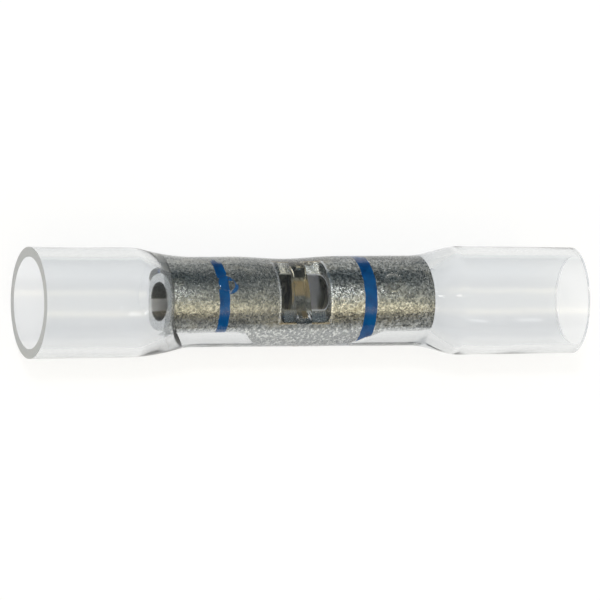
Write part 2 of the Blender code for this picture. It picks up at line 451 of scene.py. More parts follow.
@dataclass(frozen=True)
class TinFinish:
    """Dull, grainy tin on copper, with what shows at the window and in the bore.

    Its places are in millimetres from the tube's axis. Some of its colour is painted light: a paler,
    more flecked lower side, pale bands at the window's ends and the barrel's ends, a highlight band
    and shade in the bore's throat, shade on the strip's far root, and a loop of ring blue for the ring
    seen through the left dent.
    """

    pale: tuple[float, float, float] = (0.42, 0.42, 0.39)
    dark: tuple[float, float, float] = (0.17, 0.18, 0.18)
    tarnish: tuple[float, float, float] = (0.34, 0.30, 0.21)
    # Pale tin: the cut faces, and painted light on the lower side, at the window's ends and on the
    # barrel's ends.
    fresh_and_lit: tuple[float, float, float] = (0.74, 0.75, 0.76)
    copper: tuple[float, float, float] = (0.52, 0.43, 0.29)
    # Painted highlight colour, for the band across the bore's throat.
    bright: tuple[float, float, float] = (0.93, 0.93, 0.96)
    lining: tuple[float, float, float] = (0.90, 0.91, 1.0)
    # Painted shade colour, for the bore's throat and the strip's far root.
    painted_shade_colour: tuple[float, float, float] = (0.10, 0.11, 0.12)
    ink: tuple[float, float, float] = BLUE_INK
    # Colour of the pale specks: grain, and painted glints on the lower side.
    fleck_and_glint: tuple[float, float, float] = (0.90, 0.90, 0.87)
    grain: float = 7.0
    grain_depth: float = 0.020 * MM
    window_middle: float = PLACES.window_x / MM
    window_half: float = 1.75
    window_floor: float = 0.9
    # Place and size of the painted loop of ring blue: a painted refraction of the ring through the
    # left dent.
    loop_x: float = -5.83
    loop_angle: float = math.radians(92)
    loop_skin: float = 2.6
    loop_inner: float = 0.43
    loop_outer: float = 0.66
    throat_depth: float = 1.4
    band_across: tuple[float, float] = (0.906, 0.423)

    def copper_mask(self, graph: Graph, tube: TubeSpace) -> Value:
        """Returns where bare copper shows: the window's outer rims, and the pressed strip."""
        from_middle = abs(tube.x - self.window_middle)
        ragged = graph.noise(tube.spot, 2.6, 3.0, 0.6)
        at_floor = tube.z.near(self.window_floor - 0.03, 0.10)
        rim = at_floor * tube.radius.rise(1.90, 1.97) * from_middle.rise(1.85, 1.70)
        rim = rim * from_middle.rise(0.45, 0.60)
        on_strip = from_middle.rise(0.52, 0.46) * tube.z.rise(0.84, 0.72)
        far = tube.y.rise(0.08, 0.20) * tube.y.rise(0.78, 0.66)
        near = tube.y.rise(-0.62, -0.74) * tube.y.rise(-1.45, -1.32)
        near = near * tube.x.rise(self.window_middle - 0.12, self.window_middle)
        strip = on_strip * (far + near) * ragged.rise(0.30, 0.40)
        return (rim + strip).math("MINIMUM", 1.0)

    def sawn_and_lit_mask(self, tube: TubeSpace) -> Value:
        """Returns where the tin is paler: the window's faces that a tool cut, a painted highlight of
        the rounded edge on the skin along the window's ends, and the barrel's two ends, which are
        partly newly cut metal and partly painted light.
        """
        from_middle = abs(tube.x - self.window_middle)
        between = tube.radius.rise(1.30, 1.34) * tube.z.rise(0.84, 0.88)
        # The window's cut faces, and the skin just beyond the window's ends, where a painted highlight
        # stands for the rounded edge.
        window = between * from_middle.rise(self.window_half + 0.16, self.window_half + 0.10)
        window = window * (1.0 - tube.radius.rise(1.955, 1.985) * from_middle.rise(1.74, 1.71))
        middle, half = PLACES.barrel_middle / MM, PLACES.barrel_length / MM / 2
        # Both ends of the barrel are paler: partly newly cut metal, partly painted light.
        ends = abs(tube.x - middle).rise(half - 0.06, half - 0.01)
        return (window + ends).math("MINIMUM", 1.0)

    def shade_mask(self, tube: TubeSpace) -> Value:
        """Returns where painted shade darkens the strip's far root, at the back."""
        on_strip = abs(tube.x - self.window_middle).rise(0.50, 0.44) * tube.z.rise(0.90, 0.80)
        return on_strip * tube.y.rise(0.80, 0.88) * tube.y.rise(1.40, 1.30)

    def painted_loop_mask(self, graph: Graph, tube: TubeSpace) -> Value:
        """Returns a painted refraction beside the left ring: a loop of blue that stands for the ring
        seen bent through the left dent.
        """
        along = tube.x - self.loop_x
        round_it = (tube.angle - self.loop_angle) * self.loop_skin
        away = (along * along + round_it * round_it).math("SQRT")
        ragged = graph.noise(tube.spot, 3.0, 2.0, 0.5)
        outside = away.rise(self.loop_inner, self.loop_inner + 0.05)
        inside = away.rise(self.loop_outer, self.loop_outer - 0.06)
        return outside * inside * ragged.rise(0.05, 0.20)

    def bore_masks(self, tube: TubeSpace) -> tuple[Value, Value, Value, Value]:
        """Finds the bore's finishes and the light and shade painted in it.

        Args:
            tube: Places on the tube.

        Returns:
            A painted highlight band across the throat, where lining coats the bore beside the window,
            the throat, which is painted dark as shade, and all of the bore.
        """
        inside = tube.radius.rise(1.36, 1.31)
        throat_end = PLACES.barrel_left / MM + self.throat_depth
        # The throat, which build darkens with painted shade; the painted highlight band lies across
        # it.
        throat = inside * tube.x.rise(throat_end, throat_end - 0.2)
        across = tube.y * self.band_across[0] + tube.z * self.band_across[1]
        # Painted highlight: a pale band across the throat.
        band = throat * across.rise(-0.78, -0.62) * across.rise(0.26, 0.12)
        beside = tube.x - self.window_middle
        beside = inside * beside.rise(0.40, 0.60) * beside.rise(2.0, 1.8)
        return band, beside, throat, inside

    def build(self) -> bpy.types.Material:
        """Makes the material."""
        material, graph = new_material("tinned_copper")
        tube = TubeSpace(graph)
        grains = graph.cells(tube.spot, self.grain)
        fine = graph.noise(tube.spot, self.grain * 1.1, 3.0, 0.65)
        patches = graph.noise(tube.stretched(0.6, 1.0, 1.0), 0.9, 3.0, 0.6)
        coarse = tube.x.rise(0.4, 1.8)
        # Painted reflection: the lower side is paler and more flecked, standing in for the white floor
        # that it mirrors.
        painted_floor_reflection = tube.angle.rise(0.34, 0.14) * tube.angle.rise(-2.2, -1.6)
        height = grains * 0.55 + fine * 0.75 + patches * 0.4
        worn = 0.5 + (fine - 0.5) * (4.4 + 4.0 * coarse) + (patches - 0.5) * 1.2
        tin = graph.blend(worn.rise(0.0, 1.0), self.dark, self.pale)
        tin = graph.blend(patches.rise(0.5, 0.75) * 0.45, tin, self.tarnish)
        # Pale specks: grain all over, and many more on the lower side as painted glints of the floor.
        flecks_and_glints = graph.noise(tube.spot, 4.6, 2.0, 0.55).rise(0.52, 0.58)
        flecks_and_glints = flecks_and_glints * (0.26 + 0.16 * coarse + 1.0 * painted_floor_reflection).math("MINIMUM", 1.0)
        # Painted reflection of the floor: paler tin on the lower side.
        tin = graph.blend(painted_floor_reflection * 0.45, tin, self.fresh_and_lit)
        tin = graph.blend(flecks_and_glints, tin, self.fleck_and_glint)
        # Paler cut faces, with painted highlights at the window's ends and painted light on the
        # barrel's ends.
        tin = graph.blend(self.sawn_and_lit_mask(tube) * 0.85, tin, self.fresh_and_lit)
        bright, coated, painted_shade, inside = self.bore_masks(tube)
        # Painted shade: the bore's throat and the strip's far root are darkened.
        painted_shade = (painted_shade * 0.8 + self.shade_mask(tube)).math("MINIMUM", 1.0)
        tin = graph.blend(painted_shade, tin, self.painted_shade_colour)
        # Painted highlight across the throat.
        tin = graph.blend(bright, tin, self.bright)
        tin = graph.blend(coated, tin, self.lining)
        bare = self.copper_mask(graph, tube)
        # Painted refraction: a loop of ring blue where the left dent bends the ring's image.
        painted_loop = self.painted_loop_mask(graph, tube)
        skin = graph.blend(bare, tin, self.copper)
        shading = {
            "Base Color": graph.blend(painted_loop, skin, self.ink),
            "Metallic": 1.0 - painted_loop - coated,
            "Roughness": 0.16 + 0.16 * fine + 0.06 * patches + 0.35 * inside,
            "Normal": graph.relief(height, self.grain_depth),
        }
        put_shader(graph, shading)
        return material


@dataclass(frozen=True)
class InkFinish:
    """Thin blue printing ink on grainy tin, streaky where it ran dry."""

    name: str
    blue: tuple[float, float, float] = BLUE_INK
    deep: tuple[float, float, float] = (0.001, 0.100, 0.37)
    tin: tuple[float, float, float] = (0.50, 0.51, 0.50)
    dry_from: float = 2.35
    dry_to: float = 3.0
    streaks: float = 5.5
    grain_depth: float = 0.006 * MM

    def build(self) -> bpy.types.Material:
        """Makes the material."""
        material, graph = new_material(self.name)
        tube = TubeSpace(graph)
        patches = graph.noise(tube.spot, 1.6, 3.0, 0.6)
        streak = graph.noise(tube.unrolled(self.streaks, 0.5), 1.0, 2.0, 0.5)
        dry = tube.angle.rise(self.dry_from, self.dry_to)
        bare = (streak + dry * 0.22).rise(0.62, 0.68) * dry.rise(0.0, 0.5)
        worn = tube.angle.rise(-0.48, -0.56) * tube.angle.rise(-1.3, -1.2)
        bare = (bare + worn).math("MINIMUM", 1.0)
        ink = graph.blend(patches.rise(0.3, 0.7), self.deep, self.blue)
        grain = graph.noise(tube.spot, 9.0, 3.0, 0.6)
        shading = {
            "Base Color": graph.blend(bare, ink, self.tin),
            "Metallic": bare,
            "Specular IOR Level": 0.04,
            "Roughness": 0.34 + 0.2 * grain,
            "Normal": graph.relief(grain, self.grain_depth),
        }
        put_shader(graph, shading)
        return material


@dataclass(frozen=True)
class Dent:
    """A small round mark that a hot tool left in the sleeve's top."""

    x: float
    angle: float = math.radians(89)
    radius: float = 0.56 * MM
    width: float = 0.075 * MM
    depth: float = 0.09 * MM

    def away(self, x: float, angle: float, skin: float) -> float:
        """Returns the distance over the skin from the dent's middle."""
        return math.hypot(x - self.x, (angle - self.angle) * skin)

    def sink(self, x: float, angle: float, skin: float) -> float:
        """Returns how deep the skin sinks.

        Args:
            x: Place along the tube.
            angle: Place round the tube, in radians.
            skin: Radius of the skin there.
        """
        away = self.away(x, angle, skin)
        ring = math.exp(-(((away - self.radius) / self.width) ** 2))
        bowl = 0.25 * smooth(1 - away / self.radius)
        return self.depth * (ring + bowl)


@dataclass
class Sleeve:
    """The clear sleeve, with the melted lining that fills the barrel's window."""

    sides: int = 192
    waist_wall: float = 0.93 * MM
    left_radius: float = 3.635 * MM
    left_flare: float = 0.05 * MM
    left_flare_length: float = 4.0 * MM
    right_radius: float = 3.60 * MM
    right_mouth_radius: float = 3.50 * MM
    end_wall: float = 0.64 * MM
    right_end_wall: float = 0.54 * MM
    rim_round: float = 0.004 * MM
    left_lap: float = 2.2 * MM
    left_shoulder: float = 4.6 * MM
    right_lap: float = 1.1 * MM
    right_shoulder: float = 3.6 * MM
    lean: float = 0.45 * MM
    lean_angle: float = math.radians(154)
    dip_depth: float = 0.22 * MM
    dip_from_window: float = -0.73 * MM
    dip_half_length: float = 3.6 * MM
    dip_angle: float = math.radians(130)
    dip_half_angle: float = math.radians(80)
    left_lip: float = 0.44 * MM
    left_lip_length: float = 0.15 * MM
    left_funnel: float = 1.95 * MM
    left_funnel_lean: float = 0.45 * MM
    left_funnel_curve: float = 1.35
    right_funnel: float = 2.2 * MM
    funnel_soft: float = 0.15
    low_edge: float = 1.25 * MM
    low_angle: float = math.radians(-45)
    low_half_angle: float = math.radians(85)
    low_lip: float = 0.15
    low_reach: float = 0.4
    melted_length: float = 0.80 * MM
    wetted: float = 0.02 * MM
    air: float = 0.06 * MM
    air_from: float = 4.2 * MM
    air_left_slope: float = 0.83
    air_right_slope: float = 0.98
    air_edge: float = 0.4 * MM
    air_top: float = 0.80 * MM
    air_top_edge: float = 0.25 * MM
    air_bottom: float = -1.20 * MM
    air_bottom_edge: float = 0.30 * MM
    air_front: float = 1.5
    film: float = 0.05 * MM
    coarse_step: float = 0.30 * MM
    seat_step: float = 0.18 * MM
    fine_step: float = 0.065 * MM
    lip_step: float = 0.045 * MM
    window_step: float = 0.12 * MM
    stop_step: float = 0.2 * MM
    row_gap: float = 0.002 * MM
    dent_cuts: int = 4
    dent_reach: float = 1.7
    waviness: float = 0.012 * MM
    wave_fade: float = 2.0 * MM
    outer_waves: tuple[float, float] = (420.0, 3.0)
    inner_waves: tuple[float, float] = (380.0, 9.0)
    inner_gain: float = 1.5
    inner_fade: float = 0.4 * MM
    sharp_degrees: float = 44.0
    dents: tuple[Dent, ...] = (Dent(x=-6.2 * MM, depth=0.05 * MM), Dent(x=5.46 * MM))

    def __post_init__(self) -> None:
        """Works out the places that follow from the sizes."""
        self.seat = PLACES.barrel_radius + self.film
        self.waist = self.seat + self.waist_wall
        self.left_waist_x = PLACES.barrel_left + self.left_lap
        self.right_waist_x = PLACES.barrel_right - self.right_lap
        self.left_free_x = self.left_waist_x - self.left_shoulder
        self.right_free_x = self.right_waist_x + self.right_shoulder
        self.window_x = PLACES.window_x
        self.dip_x = self.window_x + self.dip_from_window

    def free_radius(self, x: float) -> float:
        """Returns the outer radius that the sleeve would have here without shrinking."""
        if x < PLACES.barrel_middle:
            reach = PLACES.left_mouth + self.left_flare_length
            return self.left_radius + self.left_flare * smooth((reach - x) / self.left_flare_length)
        share = (x - self.right_free_x) / (PLACES.right_mouth - self.right_free_x)
        return mix(self.right_radius, self.right_mouth_radius, min(max(share, 0.0), 1.0))

    def outer_radius(self, x: float) -> float:
        """Returns the outer radius, from the waist through the shoulders to the free ends."""
        left = smooth((self.left_waist_x - x) / self.left_shoulder)
        right = smooth((x - self.right_waist_x) / self.right_shoulder)
        return mix(self.waist, self.free_radius(x), max(left, right))

    def centre_height(self, x: float) -> float:
        """Returns the height of a section's centre: each free end lies on the floor."""
        left = smooth((PLACES.barrel_left - x) / (PLACES.barrel_left - self.left_free_x))
        right = smooth((x - PLACES.barrel_right) / (self.right_free_x - PLACES.barrel_right))
        return mix(PLACES.axis_height, self.free_radius(x), max(left, right))

    def bore(self, x: float) -> float:
        """Returns the radius of the free ends' bore."""
        wall = self.end_wall if x < PLACES.barrel_middle else self.right_end_wall
        return self.free_radius(x) - wall

    def air_gap(self, x: float, height: float) -> float:
        """Tells where the lining has come away from the barrel, low down near both ends.

        Args:
            x: Place along the tube.
            height: Height over the barrel's axis.

        Returns:
            0 where the lining wets the barrel, and 1 where air lies between.
        """
        left = smooth((-self.air_from - self.air_left_slope * height - x) / self.air_edge)
        right = smooth((x - self.air_from - self.air_right_slope * height) / self.air_edge)
        below_top = smooth((self.air_top - height) / self.air_top_edge)
        over_bottom = smooth((height - self.air_bottom) / self.air_bottom_edge)
        return max(left, right) * below_top * over_bottom

    def inner_radius(self, x: float, angle: float) -> float:
        """Returns the inner radius: bores, funnels, and the seat on the barrel."""
        wet = PLACES.barrel_radius - self.wetted
        dry = PLACES.barrel_radius + self.air
        front = smooth(0.5 + self.air_front * math.cos(angle))
        seat = mix(wet, dry, front * self.air_gap(x, PLACES.barrel_radius * math.sin(angle)))
        if x < PLACES.barrel_middle:
            return self.left_funnel_radius(x, angle, seat)
        out = (x - PLACES.barrel_right + self.film) / self.right_funnel
        return mix(seat, self.bore(x), eased(out, self.funnel_soft))

    def left_funnel_radius(self, x: float, angle: float, seat: float) -> float:
        """Returns the left funnel's radius: a steep lip at the barrel, then a long cone.

        Args:
            x: Place along the tube.
            angle: Place round the tube, in radians.
            seat: The inner radius on the barrel.
        """
        lean = (1 - math.cos(angle - self.lean_angle)) / 2
        low = self.low_share(angle)
        out = self.left_edge(angle) - x
        if out <= 0:
            return seat
        steep = self.left_lip * mix(1.0, self.low_lip, low)
        lip = steep * math.sin(min(out / self.left_lip_length, 1.0) * math.pi / 2)
        length = self.left_funnel + self.left_funnel_lean * lean - self.left_lip_length
        length += self.low_reach * self.low_edge * low
        share = min(max((out - self.left_lip_length) / length, 0.0), 1.0)
        cone = (self.bore(x) - seat - steep) * (1 - (1 - share) ** self.left_funnel_curve)
        return seat + lip + cone

    def outer_places(self) -> list[float]:
        """Lists the outer outline's places along X."""
        left, right = PLACES.left_mouth, PLACES.right_mouth
        return spaced(left + self.rim_round, right - self.rim_round, self.coarse_step)

    def inner_places(self, window: "Window") -> list[float]:
        """Lists the inner outline's places along X, close together at the window."""
        left, right = PLACES.left_mouth, PLACES.right_mouth
        edge = window.half_length + self.wetted
        stop = window.stop_width / 2
        left_seat = PLACES.barrel_left - self.left_funnel - self.left_funnel_lean
        lip_start = PLACES.barrel_left - self.left_lip_length - self.film
        lip_end = PLACES.barrel_left + self.low_edge + 2 * self.film
        right_seat = PLACES.barrel_right + self.right_funnel
        places = spaced(left + self.rim_round, left_seat, self.coarse_step)[:-1]
        places += spaced(left_seat, lip_start, self.seat_step)[:-1]
        places += spaced(lip_start, lip_end, self.lip_step)[:-1]
        places += spaced(lip_end, self.window_x - edge - self.fine_step, self.seat_step)
        for side in (-1, 1):
            ends = (side * (edge - self.row_gap), side * (stop + window.clearance))
            inner, outer = sorted(ends)
            places += spaced(self.window_x + inner, self.window_x + outer, self.window_step)
            if side == -1:
                places += spaced(self.window_x - stop, self.window_x + stop, self.stop_step)
        places += spaced(self.window_x + edge + self.fine_step, right_seat, self.seat_step)[:-1]
        return places + spaced(right_seat, right - self.rim_round, self.coarse_step)

    def shape(self, bm: bmesh.types.BMesh, window: "Window") -> None:
        """Moves the turned skin's corners to their places.

        Args:
            bm: The turned sleeve, whose inner corners have radii under the outer ones.
            window: The barrel's window, which the lining fills.
        """
        for corner in bm.verts:
            x, y, z = corner.co
            angle = math.atan2(z, -y) % FULL_TURN
            radius = math.hypot(y, z)
            outside = radius > self.middle_radius(x)
            if outside:
                self.shape_outside(corner, x, angle, radius)
            else:
                self.shape_inside(corner, x, angle, radius, window)
            corner.co.z = max(corner.co.z + self.centre_height(x), 0.0)

    def refine(self, bm: bmesh.types.BMesh) -> None:
        """Cuts the outer skin finer where the dents will be."""
        near = []
        for face in bm.faces:
            x, y, z = face.calc_center_median()
            radius = math.hypot(y, z)
            if radius < self.middle_radius(x):
                continue
            angle = math.atan2(z, -y)
            if any(self.close(dent, x, angle, radius) for dent in self.dents):
                near.append(face)
        edges = list({edge for face in near for edge in face.edges})
        bmesh.ops.subdivide_edges(bm, edges=edges, cuts=self.dent_cuts, use_grid_fill=True)

    def close(self, dent: Dent, x: float, angle: float, radius: float) -> bool:
        """Tells whether a place on the skin is close to a dent."""
        return dent.away(x, angle, radius) < self.dent_reach * dent.radius

    def at_left_lip(self, spot: Vector) -> bool:
        """Tells whether a spot of the turned skin belongs to the melted lip."""
        radius = math.hypot(spot.y, spot.z)
        out = self.left_edge(math.atan2(spot.z, -spot.y)) - spot.x
        return 0 < out < self.melted_length and radius < self.middle_radius(spot.x)

    def low_share(self, angle: float) -> float:
        """Returns how far an angle lies towards the side where the lip starts late."""
        aside = abs((angle - self.low_angle + math.pi) % FULL_TURN - math.pi)
        return smooth(1 - aside / self.low_half_angle)

    def left_edge(self, angle: float) -> float:
        """Returns the place along X where the left lip leaves the barrel."""
        return PLACES.barrel_left + self.film + self.low_edge * self.low_share(angle)

    def middle_radius(self, x: float) -> float:
        """Returns a radius inside the wall, between the outer and the inner outline."""
        return self.outer_radius(x) - self.end_wall / 2

    def shape_outside(self, corner: bmesh.types.BMVert, x: float, angle: float, radius: float) -> None:
        """Leans the left shoulder, sinks the dip and the dents, and makes the skin wavy."""
        middle = (self.left_free_x + self.left_waist_x) / 2
        share = (x - middle) / (self.left_shoulder / 2)
        along = bump((x - self.dip_x) / self.dip_half_length)
        sunk = self.dip_depth * along * bump((angle - self.dip_angle) / self.dip_half_angle)
        for dent in self.dents:
            sunk += dent.sink(x, angle, radius)
        from_mouth = min(x - PLACES.left_mouth, PLACES.right_mouth - x)
        wavy = self.waviness * smooth(from_mouth / self.wave_fade)
        wavy *= wobble(x, angle, *self.outer_waves)
        radius += wavy - sunk
        shift = -self.lean * math.cos(angle - self.lean_angle) * bump(share)
        corner.co = (x + shift, -radius * math.cos(angle), radius * math.sin(angle))

    def shape_inside(
        self,
        corner: bmesh.types.BMVert,
        x: float,
        angle: float,
        radius: float,
        window: "Window",
    ) -> None:
        """Seats the lining on the barrel, opens the funnels and fills the window."""
        from_mouth = min(x - PLACES.left_mouth, PLACES.right_mouth - x)
        if from_mouth > self.rim_round * 0.99:
            radius = self.inner_radius(x, angle)
        free = smooth((radius - self.seat) / self.inner_fade)
        radius += self.waviness * self.inner_gain * free * wobble(x, angle, *self.inner_waves)
        y, z = -radius * math.cos(angle), radius * math.sin(angle)
        if abs(x - self.window_x) < window.half_length + self.wetted:
            z = min(z, window.lining_height(x - self.window_x, y) - self.wetted)
        corner.co = (x, y, z)

    def build(
        self, materials: Sequence[bpy.types.Material], window: "Window"
    ) -> bpy.types.Object:
        """Turns the sleeve and shapes it.

        Args:
            materials: The finishes, in the order of SleevePart.
            window: The barrel's window.

        Returns:
            The finished piece.
        """
        left, right = PLACES.left_mouth, PLACES.right_mouth
        soft = self.rim_round
        outer = [(x, self.outer_radius(x)) for x in self.outer_places()]
        inner = [(x, self.middle_radius(x) - self.end_wall) for x in self.inner_places(window)]
        caps_left = [(left, self.bore(left) + soft), (left, self.free_radius(left) - soft)]
        caps_right = [(right, self.free_radius(right) - soft), (right, self.bore(right) + soft)]
        outline = caps_left + outer + caps_right + inner[::-1]
        bm = turned(outline, self.sides)
        self.refine(bm)
        for face in bm.faces:
            middle = face.calc_center_median()
            if middle.x - left < soft * 0.1:
                face.material_index = SleevePart.CUT_RIM
            elif self.at_left_lip(middle):
                face.material_index = SleevePart.MELTED_LIP
        self.shape(bm, window)
        return add_piece("clear_sleeve", bm, materials, self.sharp_degrees)


@dataclass
class Window:
    """The barrel's inspection window, and the strip pressed down in it as the wire stop."""

    half_length: float = 1.75 * MM
    floor: float = 0.9 * MM
    corner: float = 0.45 * MM
    stop_width: float = 1.0 * MM
    stop_thickness: float = 0.55 * MM
    stop_dip: float = 0.75 * MM
    stop_sunk: float = 0.04 * MM
    stop_root: float = 0.14 * MM
    clearance: float = 0.05 * MM
    steps: int = 40
    lining_sag: float = 0.05 * MM
    bore_edge: float = 0.91 * MM
    corner_segments: int = 8

    def __post_init__(self) -> None:
        """Works out the places that follow from the sizes."""
        self.x = PLACES.window_x
        self.sawn_edge = math.sqrt(PLACES.barrel_radius**2 - self.floor**2)

    def stop_height(self, y: float) -> float:
        """Returns the height of the strip's top over the axis, at a place across the tube."""
        share = min(abs(y) / self.sawn_edge, 1.0)
        return self.floor - self.stop_sunk - self.stop_dip * (1 + math.cos(math.pi * share)) / 2

    def lining_height(self, x: float, y: float) -> float:
        """Returns the height of the melted lining's underside.

        Args:
            x: Place along the tube, from the window's middle.
            y: Place across the tube.
        """
        over_stop = smooth((self.stop_width / 2 + self.clearance / 2 - abs(x)) / self.clearance)
        gap = self.half_length - self.stop_width / 2
        along = abs(x) - self.stop_width / 2
        sag = self.lining_sag * bump(y / self.bore_edge) * bump(2 * along / gap - 1)
        return mix(self.floor - sag, self.stop_height(y), over_stop)

    def saw(self) -> bpy.types.Object:
        """Makes the saw's path: a block with rounded lower corners."""
        bm = bmesh.new()
        bmesh.ops.create_cube(bm, size=1.0)
        tall = 2 * PLACES.barrel_radius
        bmesh.ops.scale(bm, vec=(2 * self.half_length, 2 * tall, tall), verts=bm.verts)
        place = Vector((self.x, 0, self.floor + tall / 2))
        bmesh.ops.translate(bm, vec=place, verts=bm.verts)
        lower = [edge for edge in bm.edges if self.runs_across_below(edge, place.z)]
        bmesh.ops.bevel(
            bm,
            geom=lower,
            offset=self.corner,
            segments=self.corner_segments,
            profile=0.5,
            affect="EDGES",
            material=-1,
        )
        return cutter("saw", bm)

    @staticmethod
    def runs_across_below(edge: bmesh.types.BMEdge, height: float) -> bool:
        """Tells whether an edge runs across the tube, under a height."""
        one, two = edge.verts
        return max(one.co.z, two.co.z) < height and abs(one.co.y - two.co.y) > MM

    def bar(self, name: str, section: Sequence[tuple[float, float]], width: float) -> bpy.types.Object:
        """Extrudes a section of (y, z) points along X, across the window's middle."""
        bm = bmesh.new()
        side = bm.faces.new([bm.verts.new((self.x - width / 2, y, z)) for y, z in section])
        made = bmesh.ops.extrude_face_region(bm, geom=[side])
        far = [thing for thing in made["geom"] if isinstance(thing, bmesh.types.BMVert)]
        bmesh.ops.translate(bm, vec=(width, 0, 0), verts=far)
        bmesh.ops.recalc_face_normals(bm, faces=bm.faces)
        return cutter(name, bm)

    def strip(self) -> bpy.types.Object:
        """Makes the strip that hangs across the bore."""
        reach = self.sawn_edge - self.stop_root
        places = spaced(-reach, reach, 2 * reach / self.steps)
        top = [(y, self.stop_height(y) + self.clearance) for y in places]
        under = [(y, self.stop_height(y) - self.stop_thickness) for y in places]
        return self.bar("strip", top + under[::-1], self.stop_width)

    def pits(self) -> list[bpy.types.Object]:
        """Makes the two hollows that the press left in the far sawn face.

        Each is a ball, stretched: its place from the window's middle and its radii, in millimetres.
        """
        spots = (
            ((0.07, 1.33, 0.94), (0.52, 0.34, 0.30)),
            ((0.87, 1.62, 0.95), (0.34, 0.15, 0.20)),
        )
        made = []
        for place, radii in spots:
            bm = bmesh.new()
            bmesh.ops.create_uvsphere(bm, u_segments=32, v_segments=20, radius=MM)
            bmesh.ops.scale(bm, vec=radii, verts=bm.verts)
            bmesh.ops.translate(bm, vec=Vector(place) * MM + Vector((self.x, 0, 0)), verts=bm.verts)
            made.append(cutter("pit", bm))
        return made

    def groove(self) -> bpy.types.Object:
        """Makes the room over the strip."""
        edge = PLACES.barrel_radius
        places = spaced(-edge, edge, 2 * edge / self.steps)
        floor = [(y, self.stop_height(y)) for y in places]
        over = [(edge, 2 * edge), (-edge, 2 * edge)]
        return self.bar("groove", floor + over, self.stop_width + 2 * self.clearance)


@dataclass
class Barrel:
    """The tinned copper crimp barrel, with softened edges and its window."""

    sides: int = 144
    wall: float = 0.72 * MM
    bore_chamfer: float = 0.10 * MM
    edge_round: float = 0.09 * MM
    edge_segments: int = 4
    burr: float = 0.018 * MM
    burr_segments: int = 2
    burr_angle: float = math.radians(40)
    sharp_degrees: float = 38.0

    def outline(self) -> list[tuple[float, float]]:
        """Lists the wall's outline, with rounded outer edges and a chamfered bore."""
        left, right = PLACES.barrel_left, PLACES.barrel_right
        outer = PLACES.barrel_radius
        inner = outer - self.wall
        points = [(left, inner + self.bore_chamfer)]
        for turn in spaced(0, math.pi / 2, math.pi / 2 / self.edge_segments):
            points.append(
                (
                    left + self.edge_round * (1 - math.sin(turn)),
                    outer - self.edge_round * (1 - math.cos(turn)),
                )
            )
        points = [points[0]] + points[:0:-1]
        points += [(left + right - x, radius) for x, radius in points[::-1]]
        points += [(right - self.bore_chamfer, inner), (left + self.bore_chamfer, inner)]
        return points

    def build(self, material: bpy.types.Material, window: Window) -> bpy.types.Object:
        """Turns the barrel, saws the window and presses the stop down.

        Args:
            material: The tin finish.
            window: The window's sizes.

        Returns:
            The finished piece.
        """
        blank = cutter("blank", turned(self.outline(), self.sides))
        tools = [
            (window.saw(), Cut.AWAY),
            (window.strip(), Cut.ONTO),
            (window.groove(), Cut.AWAY),
            *((pit, Cut.AWAY) for pit in window.pits()),
        ]
        for tool, cut in tools:
            boolean = blank.modifiers.new(tool.name, "BOOLEAN")
            boolean.object = tool
            boolean.operation = cut.value
            boolean.solver = "EXACT"
        softener = blank.modifiers.new("soften", "BEVEL")
        softener.width = self.burr
        softener.segments = self.burr_segments
        softener.limit_method = "ANGLE"
        softener.angle_limit = self.burr_angle
        bm = bmesh.new()
        bm.from_object(blank, bpy.context.evaluated_depsgraph_get())
        bmesh.ops.translate(bm, vec=(0, 0, PLACES.axis_height), verts=bm.verts)
        for helper in (blank, *(tool for tool, _ in tools)):
            bpy.data.objects.remove(helper, do_unlink=True)
        return add_piece("tinned_barrel", bm, [material], self.sharp_degrees)


@dataclass
class InkRing:
    """One ring of blue ink printed round the barrel."""

    name: str
    node: str
    finish: InkFinish
    seed: float
    sides: int = 192
    lift: float = 0.001 * MM
    proud: float = 0.008 * MM
    step: float = 0.08 * MM
    ragged: float = 0.035 * MM
    ragged_scale: float = 1400.0
    edge_apart: float = 2.0 * MM
    sharp_degrees: float = 50.0

    def build(self) -> bpy.types.Object:
        """Turns a thin skin on the barrel and makes its edges ragged."""
        low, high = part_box(self.node)
        inner = PLACES.barrel_radius + self.lift
        outer = PLACES.barrel_radius + self.proud
        places = spaced(low[0], high[0], self.step)
        outline = [(x, outer) for x in places] + [(x, inner) for x in places[::-1]]
        bm = turned(outline, self.sides)
        middle = (low[0] + high[0]) / 2
        half = (high[0] - low[0]) / 2
        for corner in bm.verts:
            x, y, z = corner.co
            angle = math.atan2(z, -y)
            side = (x - middle) / half
            rough = wobble(side * self.edge_apart, angle, self.ragged_scale, self.seed)
            corner.co.x = x + abs(side) * self.ragged * rough
            corner.co.z = z + PLACES.axis_height
        return add_piece(self.name, bm, [self.finish.build()], self.sharp_degrees)


def turned(outline: Sequence[tuple[float, float]], sides: int) -> bmesh.types.BMesh:
    """Spins a closed outline of (x, radius) points once round the X axis.

    Args:
        outline: The outline's points, in order.
        sides: How many facets a full turn has.

    Returns:
        The closed skin, facing out.
    """
    bm = bmesh.new()
    corners = [bm.verts.new((x, 0.0, radius)) for x, radius in outline]
    edges = [bm.edges.new(pair) for pair in zip(corners, corners[1:] + corners[:1])]
    bmesh.ops.spin(
        bm,
        geom=corners + edges,
        cent=(0, 0, 0),
        axis=(1, 0, 0),
        angle=FULL_TURN,
        steps=sides,
        use_merge=True,
    )
    bmesh.ops.recalc_face_normals(bm, faces=bm.faces)
    return bm


def cutter(name: str, bm: bmesh.types.BMesh) -> bpy.types.Object:
    """Makes a helper object of a bmesh, which is then freed."""
    mesh = bpy.data.meshes.new(name)
    bm.to_mesh(mesh)
    bm.free()
    helper = bpy.data.objects.new(name, mesh)
    bpy.context.scene.collection.objects.link(helper)
    return helper


